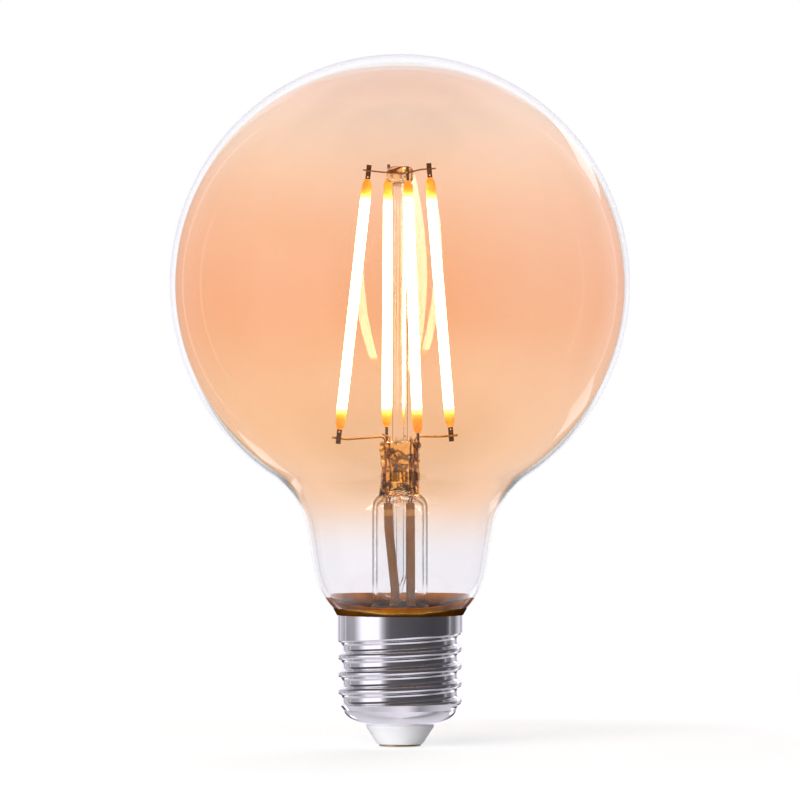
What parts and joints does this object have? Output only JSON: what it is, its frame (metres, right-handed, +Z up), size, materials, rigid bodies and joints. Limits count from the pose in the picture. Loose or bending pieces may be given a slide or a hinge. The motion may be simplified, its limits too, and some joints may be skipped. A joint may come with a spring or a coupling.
{
  "type": "led filament light bulb",
  "caption": "Amber glass globe bulb with upright LED filaments on a glass stem, and a rolled screw cap with a white insulator and a centre contact.",
  "frame": {"origin": "middle of the centre contact's face, under the cap", "axes": "+Z up the bulb's axis towards the globe, -Y is the side the picture shows"},
  "size_m": [0.096, 0.096, 0.1442],
  "materials": {
    "amber_glass": "clear blown glass with an amber film inside",
    "clear_glass": "clear drawn glass",
    "phosphor": "orange yellow silicone coat, lit",
    "tab_metal": "dull plated strip, browned by welding",
    "link_wire": "thin wire, browned",
    "lead_wire": "thin wire, browned",
    "supply_wire": "bare wire",
    "sleeve": "brown woven sleeve",
    "cement": "brown capping cement",
    "cap_metal": "bright rolled sheet",
    "white_insulator": "white moulded plastic",
    "contact_metal": "plain pressed disc",
    "board": "brown paper laminate",
    "capacitor": "dark wrapped can",
    "package": "black moulded package",
    "resistor": "coated body"
  },
  "bodies": {
    "root": {"glass_globe": "amber_glass", "glass_stem": "clear_glass", "support_rod": "clear_glass", "screw_shell": "cap_metal", "insulator": "white_insulator", "centre_contact": "contact_metal", "cement_ring": "cement", "lead_sleeve_left": "sleeve", "lead_sleeve_right": "sleeve", "top_link_wire_left": "link_wire", "top_link_wire_right": "link_wire", "live_wire": "supply_wire", "neutral_wire": "supply_wire", "driver_board": "board", "smoothing_capacitor": "capacitor", "bridge_rectifier": "package", "driver_chip": "package", "fuse_resistor": "resistor", "led_filament_1": "phosphor", "filament_1_top_tab": "tab_metal", "filament_1_bottom_tab": "tab_metal", "lead_wire_1": "lead_wire", "led_filament_2": "phosphor", "filament_2_top_tab": "tab_metal", "filament_2_bottom_tab": "tab_metal", "lead_wire_2": "lead_wire", "led_filament_3": "phosphor", "filament_3_top_tab": "tab_metal", "filament_3_bottom_tab": "tab_metal", "lead_wire_3": "lead_wire", "led_filament_4": "phosphor", "filament_4_top_tab": "tab_metal", "filament_4_bottom_tab": "tab_metal", "lead_wire_4": "lead_wire"}
  },
  "joints": []
}
